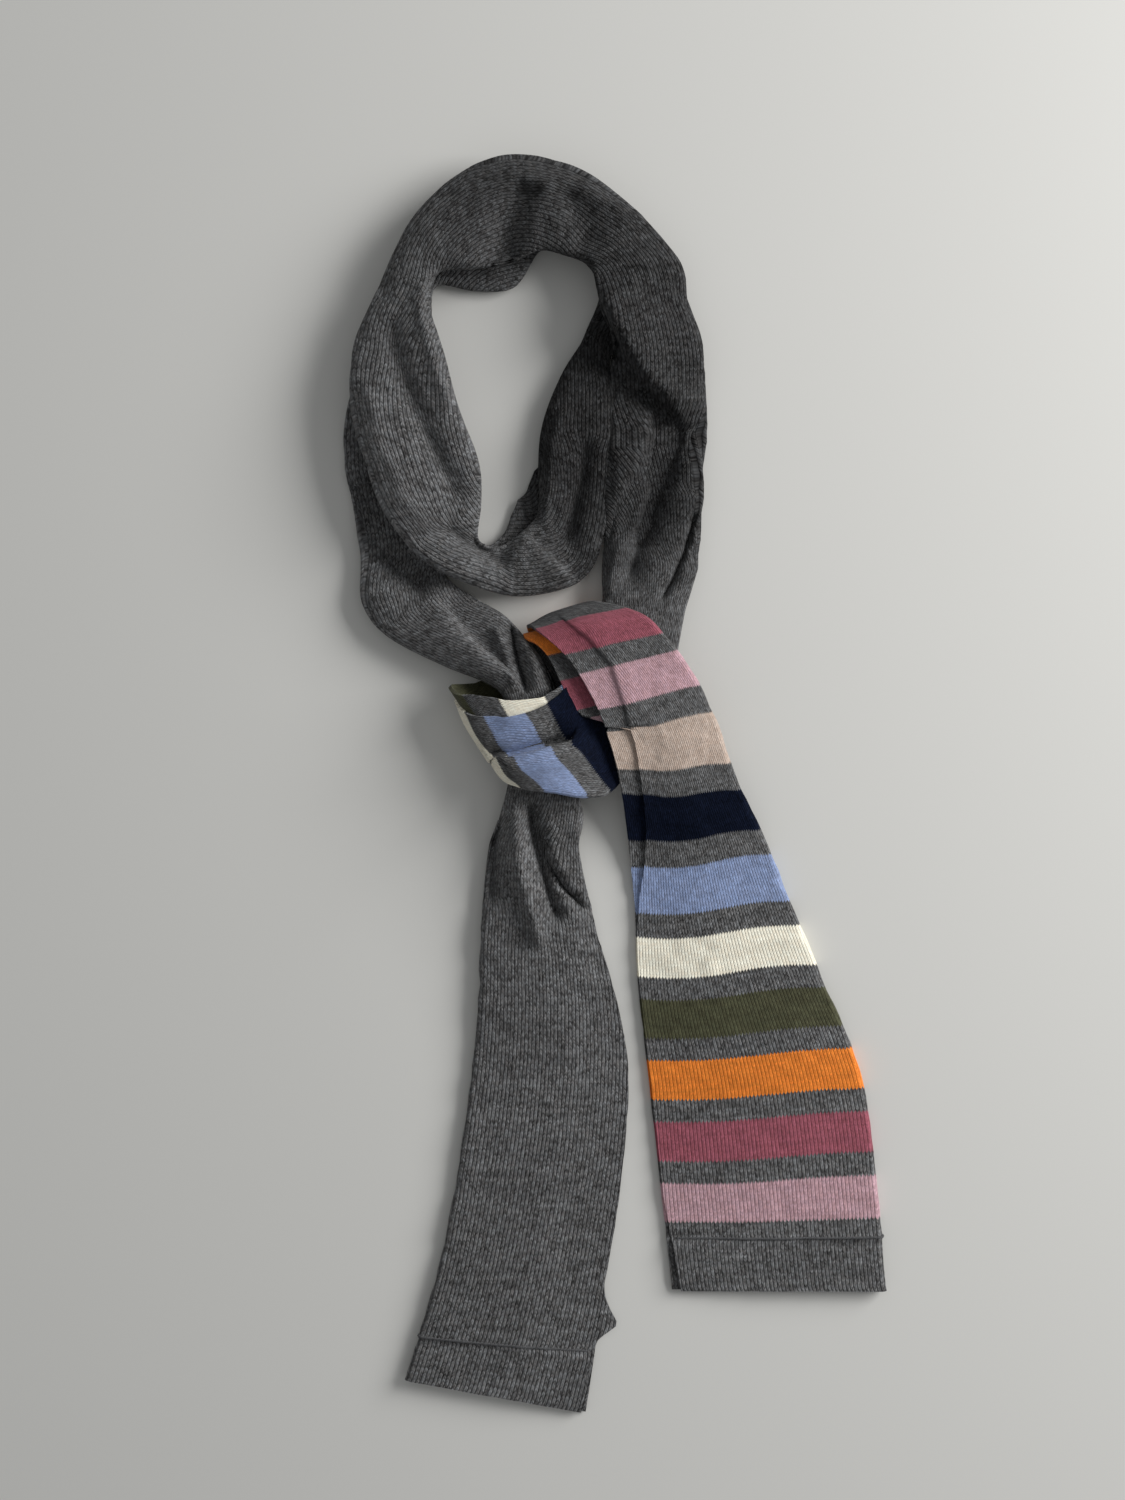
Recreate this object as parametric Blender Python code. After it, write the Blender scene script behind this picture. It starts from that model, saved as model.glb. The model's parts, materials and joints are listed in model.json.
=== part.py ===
"""A long fine-knit scarf, folded lengthwise, wound twice into a neck loop and tied with one wrap knot.

The scarf lies on a flat surface at z = 0. The origin is on that surface, at the middle of the scarf's
footprint. +Y runs from the knot to the neck loop, and both tails run towards -Y. The knitting starts
at the striped hem, climbs the right tail, turns once round the knot, makes the two neck loops, goes
down through the knot, and ends at the plain hem of the left tail. One yarn colour is one band.
"""

import math

import bmesh
import bpy
from mathutils import Vector

MM = 0.001

# The knitted piece
HEM_DEPTH = 27.0            # turned and linked hem at each end
STRIPE = 20.5               # length of one coloured band
STRIPE_PITCH = 32.0         # from one coloured band to the next
FIRST_STRIPE = 36.0         # from the striped end to the first coloured band
STRIPE_COUNT = 16
# How far the knit is drawn out, up to each length of it measured flat from the striped end
TENSION = (
    (190, 1.0),             # relaxed tail
    (290, 1.19),            # narrowing towards the knot
    (345, 1.0),             # lying over the knot
    (420, 1.35),            # pulled tight behind the knot
    (600, 1.0),             # front of the knot and the start of the neck loop
)

# The lofted solids
GAP = 0.3                   # clearance between neighbouring bands
SECTION_STEP = 11.0         # longest distance between two sections of a band
FOOTPRINT_SAMPLES = 1000    # places looked at to find the middle of the footprint
CORNER = 0.8                # corner radius of a section, as a share of half its thickness
PIVOT_HALF = 3.0            # half the width left at a swing pivot
PIVOT_GAP = 2.1             # clearance at a swing pivot, which lets the narrow end turn
PIVOT_TAPER = 12.0          # length over which the width grows back to full

YARNS = {
    "pink": (0.48, 0.30, 0.33),
    "rose": (0.30, 0.085, 0.12),
    "orange": (0.75, 0.21, 0.03),
    "olive": (0.055, 0.06, 0.03),
    "cream": (0.74, 0.70, 0.58),
    "blue": (0.24, 0.31, 0.53),
    "navy": (0.012, 0.018, 0.045),
    "beige": (0.50, 0.37, 0.30),
    "grey": (0.12, 0.12, 0.125),
}
STRIPE_ORDER = ("pink", "rose", "orange", "olive", "cream", "blue", "navy", "beige")

# The lie of the scarf, in millimetres from the knot. Each row is one place along it: the free-edge
# side (x, y, z), the folded side (x, y, z), and the thickness of the folded knitting there.
STRIPED_TAIL = (
    (57, -279, 3.2, 166, -279, 3.2, 6.4),
    (46, -180, 3.2, 154, -175, 3.2, 6.4),
    (39, -117, 3.25, 130, -113, 3.25, 6.4),
    (38, -88, 3.5, 118, -84, 3.4, 6.4),
    (35, -54, 8, 104, -50, 5, 6.4),
    (30, -20, 21, 89, -19, 11, 6.4),
    (24, 3, 27, 78, 11, 17, 6.4),
    (16, 21, 28, 66, 34, 21, 6.4),
    (4, 40, 27, 53, 51, 24, 6),
    (-10, 53, 24, 41, 62, 24, 6),
)
KNOT_WRAP = (
    (-17, 57, 14, 15, 67, 15, 6),
    (-15, 47, 4.2, 12, 49, 4.2, 6),
    (-27, 41, 3, 10, 12, 3, 5.4),
    (-43, 27, 4, -20, -3, 4, 5.4),
    (-53, 21, 14, -33, -10, 14, 5.4),
    (-44, 13, 25, -19, -26, 24, 5.4),
    (-25, 14, 29, 0, -29, 27, 5.4),
    (-10, 19, 28.5, 16, -30, 23, 5.4),
    (0, 25, 25, 28, -24, 15, 5.4),
    (8, 37, 18, 41, -3, 11.5, 6),
    (14, 51, 13, 55, 26, 11, 7),
    (20, 68, 10, 63, 64, 10, 9),
)
OUTER_LOOP = (
    (21, 91, 7.4, 70, 90, 7.4, 13),
    (26, 149, 7.4, 74, 153, 7.2, 14),
    (29, 176, 9, 73, 180, 8, 13),
    (27, 197, 15, 71, 201, 11, 12),
    (21, 214, 18, 66, 219, 12, 12),
    (16, 235, 19.5, 58, 244, 13.5, 12),
    (2, 243, 20, 20, 280, 14.5, 12),
    (-10, 245, 20, -6, 291, 14.5, 12),
    (-25, 239, 20, -31, 292, 14.5, 12),
    (-43, 236, 20, -55, 280, 14.5, 12),
    (-60, 234, 20, -75, 259, 15, 12),
    (-65, 218, 20, -92, 223, 16, 12),
    (-58, 192, 20, -103, 196, 17, 12),
    (-51, 165, 19.5, -104, 166, 18.5, 12),
    (-41, 138, 18, -97, 139, 20, 12),
    (-40, 118, 15, -87, 113, 21, 11),
    (-41, 101, 12, -68, 90, 20, 10),
    (-31, 97, 9, -42, 77, 16, 10),
)
INNER_LOOP = (
    (-20, 104, 7.5, -18, 73, 9, 11),
    (-11, 116, 6.2, 9, 80, 6.2, 12),
    (-10, 137, 6.5, 20, 98, 6.5, 13),
    (-8, 160, 6.5, 24, 142, 6.5, 13),
    (0, 183, 6, 24, 172, 6, 12),
    (12, 206, 4.5, 24, 198, 4.5, 9),
    (20, 227, 4, 40, 229, 4, 8),
    (16, 243, 4, 44, 258, 4, 8),
    (3, 246, 4, 15, 274, 4, 8),
    (-10, 248, 4, -13, 282, 4, 8),
    (-23, 230, 4, -38, 279, 4, 8),
    (-42, 228, 4, -61, 269, 4, 8),
    (-62, 230, 4, -81, 249, 4, 8),
    (-65, 208, 4, -96, 216, 4, 8),
    (-62, 180, 4, -104, 185, 4, 8),
    (-64, 152, 4, -110, 149, 4, 8),
    (-62, 98, 5.7, -101, 93, 6.2, 11),
    (-56, 81, 7.5, -100, 69, 7.5, 13),
    (-42, 71, 8, -88, 53, 8, 14),
    (-27, 62, 10, -60, 38, 9.5, 13),
    (-14, 47, 14, -38, 29, 13, 11),
)
PLAIN_TAIL = (
    (-4, 32, 15.5, -29, 22, 15, 10),
    (2, 10, 16, -26, 6, 16, 10),
    (5, -15, 14.5, -25, -15, 14.5, 10),
    (13, -38, 9, -30, -37, 9, 11),
    (11, -56, 7, -36, -54, 7, 12),
    (20, -97, 5.2, -40, -94, 5.2, 10),
    (30, -134, 4.1, -42, -134, 4.1, 8),
    (35, -168, 3.2, -45, -168, 3.2, 6.4),
    (32, -218, 3.2, -52, -218, 3.2, 6.4),
    (24, -272, 3.2, -63, -272, 3.2, 6.4),
    (13, -341, 3.2, -79, -324, 3.2, 6.4),
)

# Runs of the plain grey body, each up to this length of the path from the striped end
NECK_RUNS = (
    ("neck_right_lower", 690),
    ("neck_right_upper", 770),
    ("neck_crown_right", 835),
    ("neck_crown_left", 915),
    ("neck_left_upper", 975),
    ("neck_left_lower", 1030),
    ("neck_bottom_left", 1080),
    ("neck_bottom_right", 1125),
    ("inner_right_lower", 1185),
    ("inner_right_upper", 1245),
    ("inner_crown_right", 1310),
    ("inner_crown_left", 1380),
    ("inner_left_upper", 1450),
    ("inner_left_lower", 1530),
    ("knot_gather", 1611),
    ("knot_core", 1678),
)
PLAIN_SWING = 1720.0        # the plain tail swings here, just below the knot
PLAIN_LIFT = 1823.0
PLAIN_TIP_LIFT = 1907.0
TAIL_RUNS = (
    ("plain_tail_root", PLAIN_SWING),
    ("plain_tail_upper", PLAIN_LIFT),
    ("plain_tail_middle", PLAIN_TIP_LIFT),
)
# The first band, counting from the striped end, that belongs to each part of the striped tail
STRIPED_MIDDLE_FROM = "grey_spacer_03"
STRIPED_UPPER_FROM = "grey_spacer_06"
STRIPED_ROOT_FROM = "stripe_beige_1"

THREAD_RADIUS = 0.4
THREAD_LIFT = 0.8           # from the knitting's surface to the middle of the linking thread
THREAD_MARGIN = 0.04        # share of the width left free at each end of the thread


def smooth_row(rows, lengths, at):
    """The row of the lie at a length along it, by a cubic through the rows."""
    last = len(rows) - 1
    index = 0
    while index < last - 1 and lengths[index + 1] < at:
        index += 1
    span = lengths[index + 1] - lengths[index]
    share = (at - lengths[index]) / span

    def slope(i, k):
        before, after = max(i - 1, 0), min(i + 1, last)
        return (rows[after][k] - rows[before][k]) / (lengths[after] - lengths[before])

    rise = share * share * (3 - 2 * share)
    leave = share * (1 - share) ** 2 * span
    arrive = share * share * (share - 1) * span
    return [
        rows[index][k] * (1 - rise) + rows[index + 1][k] * rise
        + slope(index, k) * leave + slope(index + 1, k) * arrive
        for k in range(7)
    ]


def centred(rows):
    """The rows moved so that the middle of the footprint is at x = 0, y = 0."""
    path = Path(rows)
    samples = [path.row(path.length * i / FOOTPRINT_SAMPLES) for i in range(FOOTPRINT_SAMPLES + 1)]
    xs = [x for row in samples for x in (row[0], row[3])]
    ys = [y for row in samples for y in (row[1], row[4])]
    x, y = (min(xs) + max(xs)) / 2, (min(ys) + max(ys)) / 2
    return [(r[0] - x, r[1] - y, r[2], r[3] - x, r[4] - y, r[5], r[6]) for r in rows]


def middle(row):
    return (Vector(row[0:3]) + Vector(row[3:6])) / 2


def width_of(row):
    return (Vector(row[3:6]) - Vector(row[0:3])).length


class Path:
    """The lie of the scarf, measured in millimetres along its middle line from the striped end."""

    def __init__(self, rows):
        self.rows = rows
        chords = [0.0]
        for first, second in zip(rows, rows[1:]):
            chords.append(chords[-1] + (middle(second) - middle(first)).length)
        self.chords = chords
        steps = int(chords[-1])
        self.along_chord = [chords[-1] * i / steps for i in range(steps + 1)]
        points = [middle(smooth_row(rows, chords, c)) for c in self.along_chord]
        self.lengths = [0.0]
        for first, second in zip(points, points[1:]):
            self.lengths.append(self.lengths[-1] + (second - first).length)
        self.length = self.lengths[-1]

    def row(self, length):
        """The row at a length along the middle line."""
        lengths = self.lengths
        low, high = 0, len(lengths) - 1
        while high - low > 1:
            mid = (low + high) // 2
            if lengths[mid] <= length:
                low = mid
            else:
                high = mid
        share = (length - lengths[low]) / (lengths[high] - lengths[low])
        chord = self.along_chord[low] * (1 - share) + self.along_chord[high] * share
        return smooth_row(self.rows, self.chords, chord)

    def frame(self, length):
        """Middle, unit vector across, unit vector out of the top face, half width, half thickness."""
        row = self.row(length)
        ahead = middle(self.row(min(length + 1, self.length)))
        behind = middle(self.row(max(length - 1, 0)))
        across = (Vector(row[3:6]) - Vector(row[0:3])).normalized()
        out = across.cross(ahead - behind).normalized()
        return middle(row), across, out, width_of(row) / 2, row[6] / 2


def drawn_out(flat_length):
    """The length along the path of a place that far along the knitting when it is measured flat."""
    length, begin = 0.0, 0.0
    for end, stretch in TENSION:
        length += max(min(flat_length, end) - begin, 0) * stretch
        begin = end
    return length


def striped_bands():
    """(name, yarn, start, end) of the striped hem, the coloured bands and the grey between them."""
    bands = [("striped_end_hem", "grey", 0.0, HEM_DEPTH)]
    edge = HEM_DEPTH
    for k in range(STRIPE_COUNT):
        yarn = STRIPE_ORDER[k % len(STRIPE_ORDER)]
        start = drawn_out(FIRST_STRIPE + k * STRIPE_PITCH)
        end = drawn_out(FIRST_STRIPE + k * STRIPE_PITCH + STRIPE)
        bands.append((f"grey_spacer_{k + 1:02d}", "grey", edge, start))
        bands.append((f"stripe_{yarn}_{k // len(STRIPE_ORDER) + 1}", yarn, start, end))
        edge = end
    return bands


def grey_bands(path, start):
    """(name, yarn, start, end) of the plain knitting from the last stripe to the plain end."""
    bands = []
    hem_start = path.length - HEM_DEPTH
    for name, end in NECK_RUNS + TAIL_RUNS + (("plain_tail_lower", hem_start),):
        bands.append((name, "grey", start, end))
        start = end
    bands.append(("plain_end_hem", "grey", hem_start, path.length))
    return bands


def section(path, length, pivot_share):
    """The points round the folded knitting at a length along the path: a flat with rounded edges."""
    centre, across, out, half_width, half_thick = path.frame(length)
    half_width = PIVOT_HALF + (half_width - PIVOT_HALF) * pivot_share
    radius = CORNER * half_thick
    points = []
    for corner in range(4):
        side = 1 if corner in (0, 3) else -1
        face = 1 if corner in (0, 1) else -1
        for step in range(3):
            angle = math.radians(90 * corner + 45 * step)
            u = side * (half_width - radius) + radius * math.cos(angle)
            v = face * (half_thick - radius) + radius * math.sin(angle)
            points.append(centre + across * u + out * v)
    return points


def pivot_share(length, pivot, towards):
    """How far the width has grown back from a swing pivot, on the side that swings."""
    distance = (length - pivot) * towards
    if distance < 0:
        return 1.0
    return min(distance / PIVOT_TAPER, 1.0)


def loft(name, path, start, end, share):
    """A closed solid through the sections from start to end."""
    steps = max(1, math.ceil((end - start) / SECTION_STEP))
    mesh_data = bmesh.new()
    rings = []
    for i in range(steps + 1):
        length = start + (end - start) * i / steps
        ring = section(path, length, share(length))
        rings.append([mesh_data.verts.new(p * MM) for p in ring])
    for first, second in zip(rings, rings[1:]):
        for i in range(len(first)):
            j = (i + 1) % len(first)
            mesh_data.faces.new((first[i], first[j], second[j], second[i]))
    mesh_data.faces.new(reversed(rings[0]))
    mesh_data.faces.new(rings[-1])
    bmesh.ops.recalc_face_normals(mesh_data, faces=mesh_data.faces)
    mesh = bpy.data.meshes.new(name)
    mesh_data.to_mesh(mesh)
    mesh_data.free()
    return bpy.data.objects.new(name, mesh)


def linking_thread(name, path, length):
    """The thread that links a turned hem, lying across the top face."""
    centre, across, out, half_width, half_thick = path.frame(length)
    reach = half_width * (1 - THREAD_MARGIN)
    height = half_thick + THREAD_LIFT
    curve = bpy.data.curves.new(name, "CURVE")
    curve.dimensions = "3D"
    curve.bevel_depth = THREAD_RADIUS * MM
    curve.bevel_resolution = 1
    curve.use_fill_caps = True
    spline = curve.splines.new("POLY")
    spline.points.add(1)
    for point, side in zip(spline.points, (-1, 1)):
        place = (centre + across * reach * side + out * height) * MM
        point.co = (place.x, place.y, place.z, 1)
    return bpy.data.objects.new(name, curve)


def yarn_material(yarn):
    material = bpy.data.materials.new(f"{yarn}_knit")
    material.use_nodes = True
    shader = material.node_tree.nodes["Principled BSDF"]
    shader.inputs["Base Color"].default_value = (*YARNS[yarn], 1)
    shader.inputs["Roughness"].default_value = 0.9
    shader.inputs["Metallic"].default_value = 0
    return material


def pivot_empty(name, place, parent, collection):
    empty = bpy.data.objects.new(name, None)
    empty.empty_display_size = 0.02
    empty.location = place
    if parent:
        empty.parent = parent
        empty.location = place - parent.matrix_world.translation
    collection.objects.link(empty)
    bpy.context.view_layer.update()
    return empty


def top_pivot(path, length):
    """A place on the top face, where two bands meet."""
    centre, _, out, _, half_thick = path.frame(length)
    return (centre + out * abs(half_thick)) * MM


def hang_from(obj, empty):
    """Moves the object's origin to the empty and parents it there, with its shape left in place."""
    place = empty.matrix_world.translation
    if obj.type == "MESH":
        for vertex in obj.data.vertices:
            vertex.co -= place
    else:
        obj.location = -place
    obj.parent = empty


def main():
    for obj in list(bpy.data.objects):
        bpy.data.objects.remove(obj, do_unlink=True)
    collection = bpy.data.collections.new("knit_scarf")
    bpy.context.scene.collection.children.link(collection)
    materials = {yarn: yarn_material(yarn) for yarn in YARNS}

    path = Path(centred(STRIPED_TAIL + KNOT_WRAP + OUTER_LOOP + INNER_LOOP + PLAIN_TAIL))
    bands = striped_bands()
    starts = {name: start for name, _, start, _ in bands}
    striped_swing = starts[STRIPED_ROOT_FROM]
    striped_lift = starts[STRIPED_UPPER_FROM]
    striped_tip_lift = starts[STRIPED_MIDDLE_FROM]
    bands += grey_bands(path, bands[-1][3])

    swing = pivot_empty("striped_swing_axis", middle(path.row(striped_swing)) * MM, None, collection)
    lift = pivot_empty("striped_lift_axis", top_pivot(path, striped_lift), swing, collection)
    tip = pivot_empty("striped_tip_axis", top_pivot(path, striped_tip_lift), lift, collection)
    plain_swing = pivot_empty("plain_swing_axis", middle(path.row(PLAIN_SWING)) * MM, None, collection)
    plain_lift = pivot_empty("plain_lift_axis", top_pivot(path, PLAIN_LIFT), plain_swing, collection)
    plain_tip = pivot_empty("plain_tip_axis", top_pivot(path, PLAIN_TIP_LIFT), plain_lift, collection)
    holders = (
        (striped_tip_lift, tip), (striped_lift, lift), (striped_swing, swing), (PLAIN_SWING, None),
        (PLAIN_LIFT, plain_swing), (PLAIN_TIP_LIFT, plain_lift), (path.length + 1, plain_tip),
    )

    def share(length):
        return pivot_share(length, striped_swing, -1) * pivot_share(length, PLAIN_SWING, 1)

    def place(obj, length, yarn):
        obj.data.materials.append(materials[yarn])
        collection.objects.link(obj)
        empty = next(holder for end, holder in holders if length < end)
        if empty:
            hang_from(obj, empty)

    for name, yarn, start, end in bands:
        start_gap = PIVOT_GAP if start == PLAIN_SWING else GAP / 2
        end_gap = PIVOT_GAP if end == striped_swing else GAP / 2
        solid = loft(name, path, start + start_gap, end - end_gap, share)
        place(solid, (start + end) / 2, yarn)
    place(linking_thread("striped_hem_thread", path, HEM_DEPTH - 1), HEM_DEPTH, "grey")
    plain_hem = path.length - HEM_DEPTH
    place(linking_thread("plain_hem_thread", path, plain_hem + 1), plain_hem, "grey")


main()
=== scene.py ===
"""The looks of the tied scarf: one folded sheet of fine knitting, laid along the path of the CAD bands.

The path tables and the FOLDS table were written by scratch programs from places chosen by eye, and not typed
here: report.md says how, and that this isn't as the brief asks.

The sheet is a grid. Its rows run along the courses of the knitting, each at its length along the scarf. Its
columns go from the free edge of the top layer, over the fold, to the free edge of the bottom layer. Every
CAD band becomes a stretch of rows, cut out as a piece of its own with its own yarn.
"""

import json
import math

import bmesh
import bpy
import numpy as np
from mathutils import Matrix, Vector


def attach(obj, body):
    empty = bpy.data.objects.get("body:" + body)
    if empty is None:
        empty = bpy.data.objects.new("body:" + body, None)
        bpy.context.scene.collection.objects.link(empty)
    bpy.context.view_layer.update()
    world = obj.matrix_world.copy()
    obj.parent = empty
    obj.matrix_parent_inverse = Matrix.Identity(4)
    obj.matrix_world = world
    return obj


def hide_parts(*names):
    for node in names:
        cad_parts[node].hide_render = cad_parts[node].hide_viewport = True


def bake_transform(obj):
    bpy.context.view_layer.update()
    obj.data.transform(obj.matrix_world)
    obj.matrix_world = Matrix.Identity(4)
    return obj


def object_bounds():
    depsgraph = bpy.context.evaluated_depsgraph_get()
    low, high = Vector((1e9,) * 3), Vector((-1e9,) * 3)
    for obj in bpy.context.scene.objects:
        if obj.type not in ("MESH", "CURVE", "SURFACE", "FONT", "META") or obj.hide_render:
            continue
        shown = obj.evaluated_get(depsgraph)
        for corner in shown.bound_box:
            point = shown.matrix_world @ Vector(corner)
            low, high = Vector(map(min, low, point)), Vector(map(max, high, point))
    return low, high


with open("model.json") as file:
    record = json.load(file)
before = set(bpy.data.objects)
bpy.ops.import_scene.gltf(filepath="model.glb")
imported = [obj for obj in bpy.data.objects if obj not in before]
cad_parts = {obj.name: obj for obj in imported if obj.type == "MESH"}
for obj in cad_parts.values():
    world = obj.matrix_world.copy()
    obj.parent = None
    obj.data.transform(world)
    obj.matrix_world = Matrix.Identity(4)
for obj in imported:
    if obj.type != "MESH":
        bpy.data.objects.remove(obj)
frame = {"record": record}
CAD_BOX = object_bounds()
FLOOR = CAD_BOX[0][2]

MM = 0.001

# The lie of the scarf in millimetres from the knot, the same rows as the CAD path: the free-edge side
# (x, y, z), the folded side (x, y, z) and the thickness there, from the striped hem to the plain hem.
STRIPED_TAIL = (
    (57, -279, 3.2, 166, -279, 3.2, 6.4),
    (46, -180, 3.2, 154, -175, 3.2, 6.4),
    (39, -117, 3.25, 130, -113, 3.25, 6.4),
    (38, -88, 3.5, 118, -84, 3.4, 6.4),
    (35, -54, 8, 104, -50, 5, 6.4),
    (30, -20, 21, 89, -19, 11, 6.4),
    (24, 3, 27, 78, 11, 17, 6.4),
    (16, 21, 28, 66, 34, 21, 6.4),
    (4, 40, 27, 53, 51, 24, 6),
    (-10, 53, 24, 41, 62, 24, 6),
)
KNOT_WRAP = (
    (-17, 57, 14, 15, 67, 15, 6),
    (-15, 47, 4.2, 12, 49, 4.2, 6),
    (-27, 41, 3, 10, 12, 3, 5.4),
    (-43, 27, 4, -20, -3, 4, 5.4),
    (-53, 21, 14, -33, -10, 14, 5.4),
    (-44, 13, 25, -19, -26, 24, 5.4),
    (-25, 14, 29, 0, -29, 27, 5.4),
    (-10, 19, 28.5, 16, -30, 23, 5.4),
    (0, 25, 25, 28, -24, 15, 5.4),
    (8, 37, 18, 41, -3, 11.5, 6),
    (14, 51, 13, 55, 26, 11, 7),
    (20, 68, 10, 63, 64, 10, 9),
)
OUTER_LOOP = (
    (21, 91, 7.4, 70, 90, 7.4, 13),
    (26, 149, 7.4, 74, 153, 7.2, 14),
    (29, 176, 9, 73, 180, 8, 13),
    (27, 197, 15, 71, 201, 11, 12),
    (21, 214, 18, 66, 219, 12, 12),
    (16, 235, 19.5, 58, 244, 13.5, 12),
    (2, 243, 20, 20, 280, 14.5, 12),
    (-10, 245, 20, -6, 291, 14.5, 12),
    (-25, 239, 20, -31, 292, 14.5, 12),
    (-43, 236, 20, -55, 280, 14.5, 12),
    (-60, 234, 20, -75, 259, 15, 12),
    (-65, 218, 20, -92, 223, 16, 12),
    (-58, 192, 20, -103, 196, 17, 12),
    (-51, 165, 19.5, -104, 166, 18.5, 12),
    (-41, 138, 18, -97, 139, 20, 12),
    (-40, 118, 15, -87, 113, 21, 11),
    (-41, 101, 12, -68, 90, 20, 10),
    (-31, 97, 9, -42, 77, 16, 10),
)
INNER_LOOP = (
    (-20, 104, 7.5, -18, 73, 9, 11),
    (-11, 116, 6.2, 9, 80, 6.2, 12),
    (-10, 137, 6.5, 20, 98, 6.5, 13),
    (-8, 160, 6.5, 24, 142, 6.5, 13),
    (0, 183, 6, 24, 172, 6, 12),
    (12, 206, 4.5, 24, 198, 4.5, 9),
    (20, 227, 4, 40, 229, 4, 8),
    (16, 243, 4, 44, 258, 4, 8),
    (3, 246, 4, 15, 274, 4, 8),
    (-10, 248, 4, -13, 282, 4, 8),
    (-23, 230, 4, -38, 279, 4, 8),
    (-42, 228, 4, -61, 269, 4, 8),
    (-62, 230, 4, -81, 249, 4, 8),
    (-65, 208, 4, -96, 216, 4, 8),
    (-62, 180, 4, -104, 185, 4, 8),
    (-64, 152, 4, -110, 149, 4, 8),
    (-62, 98, 5.7, -101, 93, 6.2, 11),
    (-56, 81, 7.5, -100, 69, 7.5, 13),
    (-42, 71, 8, -88, 53, 8, 14),
    (-27, 62, 10, -60, 38, 9.5, 13),
    (-14, 47, 14, -38, 29, 13, 11),
)
PLAIN_TAIL = (
    (-4, 32, 15.5, -29, 22, 15, 10),
    (2, 10, 16, -26, 6, 16, 10),
    (5, -15, 14.5, -25, -15, 14.5, 10),
    (13, -38, 9, -30, -37, 9, 11),
    (11, -56, 7, -36, -54, 7, 12),
    (20, -97, 5.2, -40, -94, 5.2, 10),
    (30, -134, 4.1, -42, -134, 4.1, 8),
    (35, -168, 3.2, -45, -168, 3.2, 6.4),
    (32, -218, 3.2, -52, -218, 3.2, 6.4),
    (24, -272, 3.2, -63, -272, 3.2, 6.4),
    (13, -341, 3.2, -79, -324, 3.2, 6.4),
)

# The knitting, in millimetres
HEM_DEPTH = 27.0
FIRST_STRIPE = 36.0
STRIPE = 20.5
STRIPE_PITCH = 32.0
STRIPE_ORDER = ("pink", "rose", "orange", "olive", "cream", "blue", "navy", "beige")
STRIPE_COUNT = 16
# How far the knit is drawn out, up to each length of it measured flat from the striped end
TENSION = ((190, 1.0), (290, 1.19), (345, 1.0), (420, 1.35), (600, 1.0))
FOOTPRINT_SAMPLES = 1000    # places looked at to find the middle of the footprint
THICK = 1.7                 # one layer of the knitting
COURSE_STEP = 2.3           # from one row of the grid to the next, about
TOP_COLUMNS = 44            # columns of the grid in each layer, and round the fold
FOLD_COLUMNS = 9
WALE = 1.94                 # spacing of the columns of stitches
COURSE = 1.5                # spacing of the rows of stitches
CROWDING_REACH = 45         # the crowding of the wales is evened out over this length on each side
CORD_STEP = 0.45            # from one section of the linking cord to the next
CORD_TWIST = 3.6            # one turn of its two plies
CORD_PLY = 0.42             # radius of a ply
CORD_LIFT = 0.1             # how far the cord's middle lies out from the cloth's face
CORD_RISE = 0.22            # how far its plies go up and down
CORD_SWAY = 0.4             # and to each side
CORD_SIDES = 6              # faces round a ply

# Once round both layers of the knitting: in the striped tail, and in the plain tail
FLAT_ROUND = ((600, 218.0), (1611, 166.0))

# Where the wales crowd together as the strip narrows (1), and where the cloth folds away instead (0)
CROWDED = ((0, 1.0), (600, 1.0), (690, 0.0), (1530, 0.0), (1611, 0.5), (2020, 0.5))

# Plain runs of the body, each up to this length of the path
GREY_RUNS = (
    ("neck_right_lower", 690), ("neck_right_upper", 770), ("neck_crown_right", 835),
    ("neck_crown_left", 915), ("neck_left_upper", 975), ("neck_left_lower", 1030),
    ("neck_bottom_left", 1080), ("neck_bottom_right", 1125), ("inner_right_lower", 1185),
    ("inner_right_upper", 1245), ("inner_crown_right", 1310), ("inner_crown_left", 1380),
    ("inner_left_upper", 1450), ("inner_left_lower", 1530), ("knot_gather", 1611),
    ("knot_core", 1678), ("plain_tail_root", 1720), ("plain_tail_upper", 1823),
    ("plain_tail_middle", 1907),
)

# Bands that bend at two joints, and where each is cut between them
CUTS = {"plain_tail_upper": 1771.0, "plain_tail_middle": 1865.0}

# How the section changes along the path: (length, value) pairs, straight between them.
# 0 is a flat double layer with open edges, 1 is a soft tube with its edges tucked under.
TUBE = (
    (0, 0), (300, 0), (420, 0.2), (560, 0.3), (620, 0.9), (680, 1), (1605, 1), (1685, 0.9), (1785, 0.25),
    (1835, 0), (2020, 0),
)
# How far the top layer's free edge stands back from the bottom layer's
TOP_INSET = (
    (0, 4.5), (12, 4), (50, 1), (190, 1), (205, 3), (220, 6.5), (240, 9.7), (276, 11), (296.4, 12),
    (298.6, 0), (1800, 0), (1950, 2), (2020, 3),
)
# How far the bottom layer runs out beyond the path's free-edge side
BOTTOM_REACH = (
    (0, 0), (296, 0), (299, -2), (303, 0), (309, 8), (318, 11), (333, 10), (348, 7), (366, 6), (380, 3),
    (400, 0), (440, 0), (467, 10), (490, 16), (507, 10), (525, 4), (545, 0), (1066, 0), (1084, 14),
    (1102, 16), (1124, 10), (1146, 0), (1944, 0), (1949, 1), (1961, 9.5), (1968, 1), (1971, 0),
)
# How much wider the folded side and the free-edge side of a bunched strand lie
FOLDED_SPREAD = ((0, 0), (1140, 0), (1165, 3), (1200, 4), (1240, 4), (1265, 0), (2020, 0))
FREE_SPREAD = ((0, 0), (640, 0), (670, 2), (700, 4), (730, 3), (750, 0), (2020, 0))
# Where the lower layer of a bunched strand lies open
OPEN_BOTTOM = ((0, 0), (1060, 0), (1078, 1), (1135, 1), (1155, 0), (2020, 0))
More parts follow.
